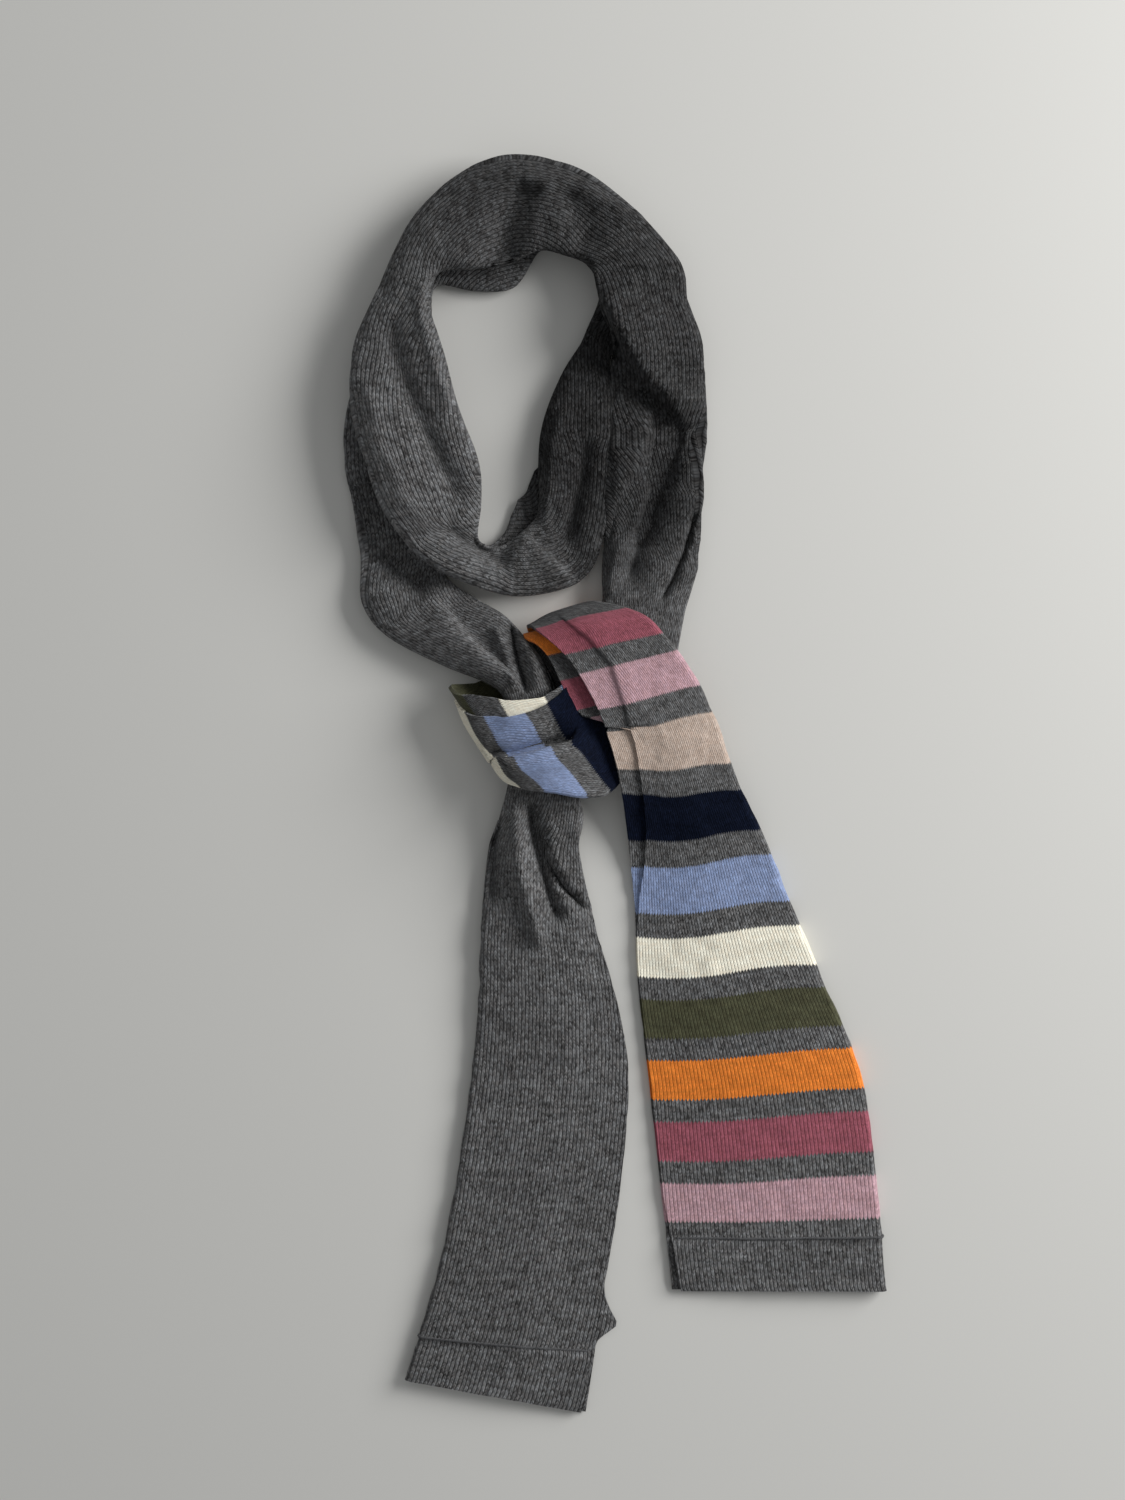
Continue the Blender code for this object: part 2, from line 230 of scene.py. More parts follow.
# How far each layer has slipped along the path
TOP_LAG = ((0, 0), (410, 0), (455, -7), (545, -7), (590, 0), (2020, 0))
BOTTOM_LAG = (
    (0, 0), (296, 0), (327, -23), (343, -30), (363, -33), (378, -34), (404, -38), (432, 24), (450, 36),
    (475, 38), (520, 38), (565, 8), (600, 0), (2020, 0),
)
# How far the courses wave along the path
COURSE_WAVE = (
    (0, 0), (27, 0), (40, 0.6), (60, 1.3), (110, 1.2), (160, 2.2), (230, 2.2), (290, 1.2), (330, 0),
    (2020, 0),
)
# How far the bottom layer sinks below its place at the free edge
BOTTOM_DROP = ((0, 0), (298, 0), (312, 4), (365, 4), (395, 0), (2020, 0))

# Painted shade along the path: how far the cloth's colour, gloss and sheen are darkened to stand in for light
# and shade.
# The loop is darker on its right in the photo, and the lamp doesn't explain it
PAINTED_SHADE = (
    (0, 1), (600, 1), (650, 0.34), (770, 0.34), (860, 0.44), (920, 0.78), (980, 0.9), (1060, 0.92),
    (1100, 0.72), (1150, 0.24), (1240, 0.26), (1300, 0.6), (1420, 0.88), (1460, 0.95), (2020, 1),
)

# The turned hems count as thicker, which sets the layers further apart, and closer where they are linked
HEM_THICKENING = (
    (0, 0.2), (1.5, 0.75), (23, 0.75), (25.5, 0.5), (27, -0.35), (28.5, 0), (1971.7, 0), (1973.2, -0.35),
    (1974.7, 0.5), (1977, 0.75), (1998.7, 0.75), (2000.3, 0.2),
)


def keyed(pairs, at):
    """The value of (place, value) pairs at a place, straight between them."""
    places, values = zip(*pairs)
    return np.interp(at, places, values)


class Path:
    """The lie of the scarf, measured in millimetres along its middle line from the striped end."""

    def __init__(self, rows):
        self.rows = np.array(rows, float)
        middles = (self.rows[:, 0:3] + self.rows[:, 3:6]) / 2
        self.knots = running_length(middles)
        self.slopes = np.empty_like(self.rows)
        self.slopes[1:-1] = (self.rows[2:] - self.rows[:-2]) / (self.knots[2:] - self.knots[:-2])[:, None]
        self.slopes[0] = (self.rows[1] - self.rows[0]) / self.knots[1]
        self.slopes[-1] = (self.rows[-1] - self.rows[-2]) / (self.knots[-1] - self.knots[-2])
        self.fine = np.linspace(0, self.knots[-1], 4001)
        sampled = self.at_knot(self.fine)
        self.lengths = running_length((sampled[:, 0:3] + sampled[:, 3:6]) / 2)
        self.length = self.lengths[-1]

    def at_knot(self, at):
        index = np.clip(np.searchsorted(self.knots, at, side="right") - 1, 0, len(self.knots) - 2)
        span = (self.knots[index + 1] - self.knots[index])[:, None]
        share = (at - self.knots[index])[:, None] / span
        rise = share * share * (3 - 2 * share)
        return (
            self.rows[index] * (1 - rise) + self.rows[index + 1] * rise
            + self.slopes[index] * share * (1 - share) ** 2 * span
            + self.slopes[index + 1] * share * share * (share - 1) * span
        )

    def at(self, length):
        return self.at_knot(np.interp(length, self.lengths, self.fine))


def running_length(points):
    steps = np.linalg.norm(np.diff(points, axis=0), axis=1)
    return np.concatenate([[0.0], np.cumsum(steps)])


def centred(rows):
    """The rows moved so that the middle of the footprint is at x = 0, y = 0, as in the CAD frame."""
    path = Path(rows)
    lie = path.at(np.linspace(0, path.length, FOOTPRINT_SAMPLES + 1))
    moved = np.array(rows, float)
    for axis in (0, 1):
        both = np.concatenate([lie[:, axis], lie[:, axis + 3]])
        moved[:, [axis, axis + 3]] -= (both.min() + both.max()) / 2
    return moved


def knot_middle():
    """Where the knot's own zero lies in the centred frame."""
    rows = STRIPED_TAIL + KNOT_WRAP + OUTER_LOOP + INNER_LOOP + PLAIN_TAIL
    return centred(rows)[0, 0:2] - np.array(rows[0][0:2])


def drawn_out(flat_length):
    """The length along the path of a place that far along the knitting when it is measured flat."""
    length, begin = 0.0, 0.0
    for end, stretch in TENSION:
        length += max(min(flat_length, end) - begin, 0) * stretch
        begin = end
    return length


def bands(path):
    """(node, yarn, start, end) of every band of the scarf, in order along the path."""
    found = [("striped_end_hem", "grey", 0.0, HEM_DEPTH)]
    edge = HEM_DEPTH
    for k in range(STRIPE_COUNT):
        yarn = STRIPE_ORDER[k % len(STRIPE_ORDER)]
        start = drawn_out(FIRST_STRIPE + k * STRIPE_PITCH)
        end = drawn_out(FIRST_STRIPE + k * STRIPE_PITCH + STRIPE)
        found.append((f"grey_spacer_{k + 1:02d}", "grey", edge, start))
        found.append((f"stripe_{yarn}_{k // len(STRIPE_ORDER) + 1}", yarn, start, end))
        edge = end
    hem = path.length - HEM_DEPTH
    for name, end in GREY_RUNS + (("plain_tail_lower", hem), ("plain_end_hem", path.length)):
        found.append((name, "grey", edge, end))
        edge = end
    return found


def stretches(all_bands):
    """(piece, node, yarn, start, end): the bands, with those that bend at two joints cut between them."""
    found = []
    for node, yarn, start, end in all_bands:
        cut = CUTS.get(node)
        if cut is None:
            found.append((f"{node}_knit", node, yarn, start, end))
        else:
            found.append((f"{node}_knit_a", node, yarn, start, cut))
            found.append((f"{node}_knit_b", node, yarn, cut, end))
    return found


def grid_rows(all_stretches):
    """The lengths of the grid's rows, with one on every border, and the row number of each border."""
    rows, borders = [0.0], [0]
    for *_, start, end in all_stretches:
        count = max(2, round((end - start) / COURSE_STEP))
        rows.extend(start + (end - start) * (i + 1) / count for i in range(count))
        borders.append(len(rows) - 1)
    return np.array(rows), borders


def smooth(share):
    return share * share * (3 - 2 * share)


def unit(vectors):
    return vectors / np.linalg.norm(vectors, axis=-1, keepdims=True)


def column_places():
    """For each column: the share of the way from the fold to the free edge, and the angle round the fold,
    which is 0 in the top layer and pi in the bottom one."""
    top = np.linspace(1, 0, TOP_COLUMNS)
    turn = np.linspace(0, math.pi, FOLD_COLUMNS + 2)[1:-1]
    edge_share = np.concatenate([top, np.zeros(FOLD_COLUMNS), top[::-1]])
    angle = np.concatenate([np.zeros(TOP_COLUMNS), turn, np.full(TOP_COLUMNS, math.pi)])
    return edge_share, angle


LEAST_FOLD_RADIUS = 0.9
RESTING_FROM = 0.5          # from this share of the way to its free edge, the top layer comes down
RESTING_GAP = 0.15          # what stays open between the two layers there


def flat_section(width, thick, layer, inset, reach, edge_share, angle):
    """Across and out coordinates of a flat double layer with a round fold on the folded side. The top layer
    comes down onto the bottom one towards its free edge."""
    radius = np.maximum(thick / 2 - layer / 2, LEAST_FOLD_RADIUS)
    fold_at = width / 2 - layer / 2 - radius
    top = angle < math.pi / 2
    edge = np.where(top, -width / 2 + inset, -width / 2 - reach)
    across = fold_at + (edge - fold_at) * edge_share + radius * np.sin(angle)
    rest = np.where(top, smooth(np.clip((edge_share - RESTING_FROM) / (1 - RESTING_FROM), 0, 1)), 0)
    return across, radius * np.cos(angle) - (2 * radius - layer - RESTING_GAP) * rest


TUBE_TURN = math.radians(205)   # how far round the tube the top layer reaches
TUBE_UNDER_SHARE = 0.72         # how far the bottom layer reaches, against the top one
TUBE_FOLD_TURN = 0.12           # how far round the tube the fold goes, against its own angle
TUBE_ROUNDNESS = (0.85, 0.75)   # exponents across and out: under 1, the tube is squarer than an ellipse


def tube_section(width, thick, edge_share, angle):
    """Across and out coordinates of a soft flattened tube whose edges are tucked under it."""
    turn = np.where(angle < math.pi / 2, 1, -1) * edge_share
    reach = TUBE_TURN * np.where(turn > 0, 1, TUBE_UNDER_SHARE)
    theta = turn * reach + (math.pi / 2 - angle) * TUBE_FOLD_TURN
    half_width = width / 2 - THICK / 2
    half_thick = thick / 2 - THICK / 2
    across = half_width * np.sign(np.cos(theta)) * np.abs(np.cos(theta)) ** TUBE_ROUNDNESS[0]
    out = half_thick * np.sign(np.sin(theta)) * np.abs(np.sin(theta)) ** TUBE_ROUNDNESS[1]
    return across, out


LAG_RISE = 1.6              # how fast a layer's lag grows from the fold
WAVE_TURN = 5               # how far the wave of the courses turns across a layer, in radians
WAVE_CREST = 0.75           # where it crests, as a share of the way from the fold to the edge


def lay_sheet(path, rows):
    """Grid of points (rows, columns, xyz) of the sheet's middle surface, in millimetres, and how far along
    the path each of them lies."""
    edge_share, angle = column_places()
    top = angle < math.pi / 2
    weight = np.clip(edge_share * LAG_RISE, 0, 1)
    lag = np.where(top, keyed(TOP_LAG, rows)[:, None], keyed(BOTTOM_LAG, rows)[:, None]) * weight
    wave = -keyed(COURSE_WAVE, rows)[:, None] * np.cos(WAVE_TURN * (edge_share - WAVE_CREST))
    at = np.clip(rows[:, None] + lag + wave, 0, path.length)
    flat_at = at.ravel()
    lie = path.at(flat_at).reshape(*at.shape, 7)
    ahead = path.at(np.minimum(flat_at + 1, path.length)).reshape(*at.shape, 7)
    behind = path.at(np.maximum(flat_at - 1, 0)).reshape(*at.shape, 7)
    centre = (lie[..., 0:3] + lie[..., 3:6]) / 2
    run = (ahead[..., 0:3] + ahead[..., 3:6] - behind[..., 0:3] - behind[..., 3:6]) / 2
    width_vector = lie[..., 3:6] - lie[..., 0:3]
    width = np.linalg.norm(width_vector, axis=-1)
    across_way = unit(width_vector)
    out_way = unit(np.cross(across_way, run))
    thick = lie[..., 6]
    inset = keyed(TOP_INSET, at)
    reach = keyed(BOTTOM_REACH, at)
    opened = keyed(OPEN_BOTTOM, at) * np.where(angle > math.pi / 2, edge_share, 0) ** 0.5
    tube = keyed(TUBE, at) * (1 - opened)
    layer = THICK + keyed(HEM_THICKENING, at)
    flat_across, flat_out = flat_section(width, thick, layer, inset, reach, edge_share, angle)
    flat_out = flat_out - keyed(BOTTOM_DROP, at) * np.where(top, 0, smooth(edge_share))
    tube_across, tube_out = tube_section(width, thick, edge_share, angle)
    spread = np.where(tube_across > 0, keyed(FOLDED_SPREAD, at), keyed(FREE_SPREAD, at))
    tube_across = tube_across * (1 + spread / (width / 2))
    across = flat_across * (1 - tube) + tube_across * tube
    out = flat_out * (1 - tube) + tube_out * tube
    return centre + across_way * across[..., None] + out_way * out[..., None], at


def wale_crowding(rows, rounds):
    """How many times closer the wales stand in each row than where the scarf lies flat."""
    near = np.abs(rows[:, None] - rows[None, :]) < CROWDING_REACH
    even = near @ rounds / near.sum(axis=1)
    return 1 + keyed(CROWDED, rows) * (keyed(FLAT_ROUND, rows) / even - 1)


# Folds in the lie of the cloth. Each is a line in plan, in millimetres from the knot, with how the cloth's
# upward faces rise or sink beside it: "ridge" along the line, or "step", which rises on the left of the line
# and sinks on its right, "edge", a crisp step, or "lap", a step whose high side hangs over the low one. Then
# the height, the width, and the stretch of the path that it belongs to. A fold marked "both" presses the two
# layers together, and one marked "sharp" ends sharply. A "soft" one doesn't draw the cloth in.
FOLDS = (
    ("edge", ((15, 229), (23, 214), (27, 206), (35, 191), (43, 180), (49, 174), (58, 165), (69, 156)),
     14, 1.2, 630, 900),
    ("ridge", ((52, 170), (51, 151), (49, 131), (44, 108), (39, 91), (34, 70)),
     -7, 6, 590, 760),
    ("ridge", ((43, 136), (35, 111), (28, 91), (23, 68)),
     2.5, 5, 590, 740),
    ("ridge", ((56, 174), (56, 151), (52, 133), (45, 113), (38, 91)),
     -10, 13, 590, 760),
    ("step", ((49, 173), (43, 151), (34, 131), (28, 118), (23, 103)),
     -5, 1.8, 590, 760),
    ("ridge", ((68, 118), (66, 106), (62, 93), (57, 81), (49, 67)),
     -6, 2, 590, 735, "soft"),
    ("ridge", ((54, 161), (53, 146), (48, 126)),
     -9, 9, 590, 760),
    ("ridge", ((-14, 281), (-22, 266), (-27, 251), (-30, 229)),
     -7, 9, 780, 960, "soft"),
    ("ridge", ((-3, 279), (5, 269), (10, 258), (15, 241)),
     -4, 8, 760, 860, "soft"),
    ("ridge", ((-45, 269), (-20, 279), (5, 275), (30, 265), (47, 253)),
     2, 9, 740, 940),
    ("ridge", ((-86, 214), (-81, 189), (-70, 162), (-56, 132), (-47, 112)),
     -5, 8, 900, 1060),
    ("ridge", ((-98, 184), (-90, 149), (-77, 119), (-57, 92)),
     2, 7, 900, 1060),
    ("ridge", ((-65, 233), (-70, 219), (-66, 199), (-60, 179), (-52, 159)),
     2, 4, 900, 1030),
    ("ridge", ((-60, 110), (-49, 100), (-37, 92), (-22, 89)),
     -5, 7, 1020, 1110),
    ("step", ((-19, 105), (-7, 93), (1, 87), (10, 75)),
     -6, 1.8, 1060, 1150),
    ("ridge", ((14, 156), (11, 131), (6, 111), (0, 93)),
     -5, 7, 1100, 1210),
    ("ridge", ((3, 171), (-4, 148), (-6, 121), (-12, 106)),
     2, 4, 1110, 1230),
    ("ridge", ((-99, 136), (-90, 108), (-79, 89), (-62, 74)),
     -15, 12, 1425, 1575),
    ("step", ((-62, 73), (-53, 59), (-45, 50), (-37, 43), (-24, 32), (-20, 23)),
     -8, 1.5, 1525, 1685),
    ("ridge", ((-33, 59), (-28, 45), (-21, 24)),
     3, 3, 1585, 1695),
    ("ridge", ((-19, 53), (-14, 40), (-10, 24)),
     3, 3, 1585, 1695),
    ("ridge", ((-25, 59), (-23, 48), (-21, 39), (-16, 22)),
     -10, 1.9, 1585, 1695),
    ("ridge", ((-12, 52), (-8, 41), (-5, 32), (-2, 21)),
     -11, 2.1, 1585, 1695),
    ("lap", ((10, 9), (5, 1), (-4, -3), (-15, -6), (-26, -9), (-39, -13)),
     9, 3.4, 455, 575, "both"),
    ("ridge", ((-40, -8), (-30, -5), (-14, -1), (3, 4)),
     -7, 3.6, 455, 568, "both"),
    ("ridge", ((-32, 9), (-15, 12), (-2, 18)),
     1.5, 5, 470, 560, "both"),
    ("ridge", ((-30, -18), (-10, -14), (15, -5)),
     1.8, 9, 455, 575, "both"),
    ("edge", ((-7, 67), (15, 50), (26, 37), (33, 15), (37, -10), (40, -25)),
     1.5, 0.8, 286, 376, "sharp"),
    ("ridge", ((-25, -20), (-22, -45), (-19, -70), (-8, -111)),
     6, 5, 1690, 1850),
    ("ridge", ((-17, -20), (-13, -50), (-7, -73), (1, -96)),
     -11, 4, 1690, 1835),
    ("ridge", ((13, -88), (1, -74), (-6, -61), (-11, -39)),
     -8, 2, 1690, 1820),
    ("ridge", ((6, -33), (12, -60), (20, -91)),
     3.5, 4.5, 1700, 1825),
    ("ridge", ((-31, -30), (-32, -55), (-35, -88)),
     -5, 6, 1700, 1830),
)
STEP_REACH = 15.0           # how far a step's rise carries
LINE_TAPER = 0.18           # share of a line over which its ends fade
SHARP_TAPER = 0.04
EVENING = 4                 # rows on each side over which the press is evened out
FOLD_FADE = 12              # length of the path over which a fold fades at the ends of its stretch
UPWARD_GAIN = 2.5           # how steep a face may be and still take a fold
UPWARD_LOSS = 0.3
PINCH = 0.4                 # how much the grid is drawn in to a fold's line
PINCH_SPREAD = 1.8          # how far from the line, against the fold's width
EDGE_PINCH, EDGE_SPREAD = 0.85, 2.6
LAP_PINCH = 1.9             # over 1, the high side hangs over the low one


def line_distance(place, line):
    """For each place: (distance to the line, positive on its left, share of the way along it, normal)."""
    line = np.array(line, float)
    steps = np.diff(line, axis=0)
    lengths = np.linalg.norm(steps, axis=1)
    along = np.concatenate([[0], np.cumsum(lengths)]) / lengths.sum()
    best = np.full(len(place), np.inf)
    signed, share, normal = np.zeros(len(place)), np.zeros(len(place)), np.zeros((len(place), 2))
    for k, (begin, step, length) in enumerate(zip(line, steps, lengths)):
        away = place - begin
        t = np.clip(away @ step / length ** 2, 0, 1)
        gap = away - t[:, None] * step
        distance = np.linalg.norm(gap, axis=1)
        left = np.array([-step[1], step[0]]) / length
        nearer = distance < best
        best[nearer] = distance[nearer]
        signed[nearer] = np.copysign(distance, gap @ left)[nearer]
        share[nearer] = (along[k] + t * (along[k + 1] - along[k]))[nearer]
        normal[nearer] = left
    return signed, share, normal


def evened(grid):
    """The mean of the grid over a few rows on each side."""
    padded = np.pad(grid, ((EVENING, EVENING), (0, 0)), mode="edge")
    total = np.cumsum(np.vstack([np.zeros((1, grid.shape[1])), padded]), axis=0)
    return (total[2 * EVENING + 1:] - total[:-2 * EVENING - 1]) / (2 * EVENING + 1)


def fold_cloth(points, at, middle):
    """Presses the folds into the grid, on the faces that look up."""
    for kind, line, height, width, low, high, *marks in FOLDS:
        ends = smooth(np.clip(np.minimum(at - low, high - at) / FOLD_FADE, 0, 1))
        picked = np.nonzero(ends.max(axis=1) > 0)[0]
        part = points[picked]
        upward = evened(np.clip(grid_normals(part)[..., 2] * UPWARD_GAIN - UPWARD_LOSS, 0, 1))
        if "both" in marks:
            upward[:] = 1
        place = part[..., 0:2].reshape(-1, 2) - middle
        signed, share, normal = line_distance(place, line)
        fade = np.clip(np.minimum(share, 1 - share) / (SHARP_TAPER if "sharp" in marks else LINE_TAPER), 0, 1)
        weight = smooth(fade) * upward.ravel() * ends[picked].ravel()
        steepness = 2 if kind == "lap" else 1
        if kind == "ridge":
            rise = height * np.exp(-((signed / width) ** 2))
        else:
            rise = height / 2 * np.tanh(steepness * signed / width) * np.exp(-((signed / STEP_REACH) ** 2))
        if "soft" in marks:
            pinch, spread = 0, width
        elif kind == "lap":
            pinch, spread = LAP_PINCH, width
        elif kind == "edge":
            pinch, spread = EDGE_PINCH, EDGE_SPREAD
        else:
            pinch, spread = PINCH, PINCH_SPREAD * width
        draw = -pinch * signed * np.exp(-((signed / spread) ** 2))
        moved = np.concatenate([normal * draw[:, None], rise[:, None]], axis=1) * weight[:, None]
        points[picked] = part + moved.reshape(part.shape)
    return points


# The settling of the cloth

SIM_ROW_STEP = 3            # every third row and column of the grid is simulated
SIM_COLUMN_STEP = 3
SIM_FRAMES = 16
SLACK = 0.04                # extra cloth, which the simulation takes up as soft waves
MOST_SETTLING = 4.5         # millimetres that a point may move, before SETTLING_SHARE
BENDING = 0.5
# How much of the settling is kept
SETTLING_SHARE = (
    (0, 0.3), (300, 0.3), (345, 0.5), (600, 0.5), (660, 0.6), (1400, 0.6), (1430, 0.3), (1720, 0.4),
    (1900, 0.35), (2020, 0.3),
)
# How strongly the cloth is held where it lies: 1 in the knot, little elsewhere
HELD = (
    (0, 0.45), (300, 0.45), (345, 1), (600, 1), (640, 0.25), (700, 0.1), (1515, 0.12), (1575, 1),
    (1716, 1), (1775, 0.45), (2020, 0.45),
)


def sheet_mesh(name, points):
    """An open mesh of a grid of points."""
    count, columns = points.shape[:2]
    index = np.arange(count * columns).reshape(count, columns)
    faces = np.stack([index[:-1, :-1], index[:-1, 1:], index[1:, 1:], index[1:, :-1]], -1).reshape(-1, 4)
    mesh = bpy.data.meshes.new(name)
    mesh.from_pydata((points.reshape(-1, 3) * MM).tolist(), [], faces.tolist())
    sheet = bpy.data.objects.new(name, mesh)
    bpy.context.scene.collection.objects.link(sheet)
    return sheet


def settle(points, rows):
    """The grid after the cloth has taken up its slack, from a simulation of a coarser sheet on the floor. It
    has neither gravity nor self-collision, since the knot's layers would throw the cloth apart, and only part
    of its movement is kept. The knot is held, so only the loops and the tails relax."""
    row_picks = np.unique(np.append(np.arange(0, len(rows), SIM_ROW_STEP), len(rows) - 1))
    column_picks = np.unique(np.append(np.arange(0, points.shape[1], SIM_COLUMN_STEP), points.shape[1] - 1))
    start = points[np.ix_(row_picks, column_picks)]
    sheet = sheet_mesh("settling", start)
    held = np.repeat(keyed(HELD, rows[row_picks])[:, None], len(column_picks), axis=1).ravel()
    pin = sheet.vertex_groups.new(name="held")
    for index, weight in enumerate(held.tolist()):
        pin.add([index], weight, "REPLACE")
    cloth = sheet.modifiers.new("cloth", "CLOTH")
    cloth.settings.quality = 5
    cloth.settings.mass = 0.02
    cloth.settings.tension_stiffness = 12
    cloth.settings.compression_stiffness = 12
    cloth.settings.shear_stiffness = 3
    cloth.settings.bending_stiffness = BENDING
    cloth.settings.tension_damping = 8
    cloth.settings.compression_damping = 8
    cloth.settings.bending_damping = 1
    cloth.settings.air_damping = 3
    cloth.settings.shrink_min = -SLACK
    cloth.settings.vertex_group_mass = "held"
    cloth.settings.pin_stiffness = 1.0
    cloth.settings.effector_weights.gravity = 0.0
    cloth.collision_settings.distance_min = 0.0009
    cloth.collision_settings.collision_quality = 3
    bpy.ops.mesh.primitive_plane_add(size=3, location=(0, 0, 0))
    ground = bpy.context.object
    ground.modifiers.new("ground", "COLLISION")
    ground.collision.thickness_outer = 0.001
    scene = bpy.context.scene
    scene.frame_start, scene.frame_end = 1, SIM_FRAMES
    cloth.point_cache.frame_start, cloth.point_cache.frame_end = 1, SIM_FRAMES
    for number in range(1, SIM_FRAMES + 1):
        scene.frame_set(number)
    settled = sheet.evaluated_get(bpy.context.evaluated_depsgraph_get())
    ends = np.empty(len(held) * 3, np.float32)
    settled.data.vertices.foreach_get("co", ends)
    scene.frame_set(1)
    for helper in (sheet, ground):
        bpy.data.objects.remove(helper, do_unlink=True)
    moved = ends.reshape(start.shape) / MM - start
    distance = np.linalg.norm(moved, axis=-1, keepdims=True)
    moved *= np.minimum(1, MOST_SETTLING / np.maximum(distance, 1e-6))
    moved[..., 0:2] -= moved[..., 0:2].mean(axis=1, keepdims=True)
    moved *= keyed(SETTLING_SHARE, rows[row_picks])[:, None, None]
    return points + refine(moved, row_picks, column_picks, len(rows), points.shape[1])


def refine(grid, row_picks, column_picks, row_count, column_count):
    """A coarse grid of vectors brought to every row and column of the fine one, straight between them."""
    rows = np.arange(row_count)
    low = np.clip(np.searchsorted(row_picks, rows, side="right") - 1, 0, len(row_picks) - 2)
    share = ((rows - row_picks[low]) / (row_picks[low + 1] - row_picks[low]))[:, None, None]
    tall = grid[low] * (1 - share) + grid[low + 1] * share
    columns = np.arange(column_count)
    left = np.clip(np.searchsorted(column_picks, columns, side="right") - 1, 0, len(column_picks) - 2)
    share = ((columns - column_picks[left]) / (column_picks[left + 1] - column_picks[left]))[None, :, None]
    return tall[:, left] * (1 - share) + tall[:, left + 1] * share


def grid_normals(points):
    """Unit normals of the grid, pointing out of the top layer's upper face."""
    down = np.gradient(points, axis=0)
    along = np.gradient(points, axis=1)
    return unit(np.cross(along, down))


def cut_piece(name, outer, inner, normals, uv_u, uv_v, grey_level):
    """A closed mesh between two grids of points, with the knitting's own coordinates in metres and its
    painted shade.
    It is shaded with the normals of the whole sheet, so that neighbouring pieces meet without a line."""
    count, columns = outer.shape[:2]
    size = count * columns
    index = np.arange(size).reshape(count, columns)
    a, b = index[:-1, :-1], index[:-1, 1:]
    c, d = index[1:, 1:], index[1:, :-1]
    top_faces = np.stack([a, b, c, d], -1).reshape(-1, 4)
    faces = [top_faces, top_faces[:, ::-1] + size]
    rim = np.concatenate([index[0], index[1:, -1], index[-1, -2::-1], index[-2:0:-1, 0]])
    after = np.roll(rim, -1)
    faces.append(np.stack([after, rim, rim + size, after + size], -1))
    faces = np.concatenate(faces)
    mesh = bpy.data.meshes.new(name)
    vertices = np.concatenate([outer.reshape(-1, 3), inner.reshape(-1, 3)]) * MM
    mesh.vertices.add(len(vertices))
    mesh.vertices.foreach_set("co", vertices.ravel())
    mesh.loops.add(faces.size)
    mesh.loops.foreach_set("vertex_index", faces.ravel())
    mesh.polygons.add(len(faces))
    mesh.polygons.foreach_set("loop_start", np.arange(0, faces.size, 4))
    mesh.update(calc_edges=True)
    coordinates = np.stack([np.tile(uv_u.ravel(), 2), np.tile(uv_v.ravel(), 2)], -1) * MM
    layer = mesh.uv_layers.new(name="knit")
    layer.data.foreach_set("uv", coordinates[faces.ravel()].ravel())
    # Painted shade along the path, kept on the points for the material
    lightness = mesh.attributes.new("grey_level", "FLOAT", "POINT")
    lightness.data.foreach_set("value", np.tile(grey_level.ravel(), 2))
    mesh.polygons.foreach_set("use_smooth", np.ones(len(faces), bool))
    side_faces = faces[2 * len(top_faces):]
    corners = vertices[side_faces]
    side_normals = unit(np.cross(corners[:, 2] - corners[:, 0], corners[:, 3] - corners[:, 1]))
    both = np.concatenate([normals.reshape(-1, 3), -normals.reshape(-1, 3)])
    loop_normals = both[faces]
    loop_normals[2 * len(top_faces):] = side_normals[:, None, :]
    mesh.normals_split_custom_set(loop_normals.reshape(-1, 3))
    piece = bpy.data.objects.new(name, mesh)
    bpy.context.scene.collection.objects.link(piece)
    return piece


def linking_cord(name, line, out_ways):
    """A two-ply cord of linking stitches along one course of the outer face: the top layer, then the fold."""
    line = line[1:TOP_COLUMNS + FOLD_COLUMNS]
    out_ways = out_ways[1:TOP_COLUMNS + FOLD_COLUMNS]
    lengths = running_length(line)
    count = int(lengths[-1] / CORD_STEP)
    at = np.linspace(0, lengths[-1], count)
    centre = np.stack([np.interp(at, lengths, line[:, i]) for i in range(3)], -1)
    out = unit(np.stack([np.interp(at, lengths, out_ways[:, i]) for i in range(3)], -1))
    along = unit(np.gradient(centre, axis=0))
    side = unit(np.cross(along, out))
    twist = 2 * math.pi * at / CORD_TWIST
    vertices, faces = [], []
    for ply in (0, math.pi):
        base = len(vertices) * CORD_SIDES
        for k in range(count):
            middle = (centre[k] + out[k] * (CORD_LIFT + CORD_RISE * math.sin(twist[k] + ply))
                      + side[k] * CORD_SWAY * math.cos(twist[k] + ply))
            turns = [2 * math.pi * i / CORD_SIDES for i in range(CORD_SIDES)]
            vertices.append(
                [middle + CORD_PLY * (side[k] * math.cos(t) + out[k] * math.sin(t)) for t in turns]
            )
        for k in range(count - 1):
            ring = base + k * CORD_SIDES + np.arange(CORD_SIDES)
            after = np.roll(ring, -1)
            faces += np.stack([ring, after, after + CORD_SIDES, ring + CORD_SIDES], -1).tolist()
        first = list(range(base, base + CORD_SIDES))
        faces += [first[::-1], [corner + (count - 1) * CORD_SIDES for corner in first]]
    mesh = bpy.data.meshes.new(f"{name}_cord")
    mesh.from_pydata((np.array(vertices).reshape(-1, 3) * MM).tolist(), [], faces)
    mesh.polygons.foreach_set("use_smooth", np.ones(len(faces), bool))
    shape = bmesh.new()
    shape.from_mesh(mesh)
    bmesh.ops.recalc_face_normals(shape, faces=shape.faces)
    shape.to_mesh(mesh)
    shape.free()
    cord = bpy.data.objects.new(f"{name}_cord", mesh)
    bpy.context.scene.collection.objects.link(cord)
    return cord


# Materials

# Shade between the wales, and how much lighter their tops are
GROOVES = {"grey": (0.34, 1.0), "colour": (0.68, 0.54)}

# How far the stitches stand out
BUMPS = {"grey": 1.0, "colour": 0.55}

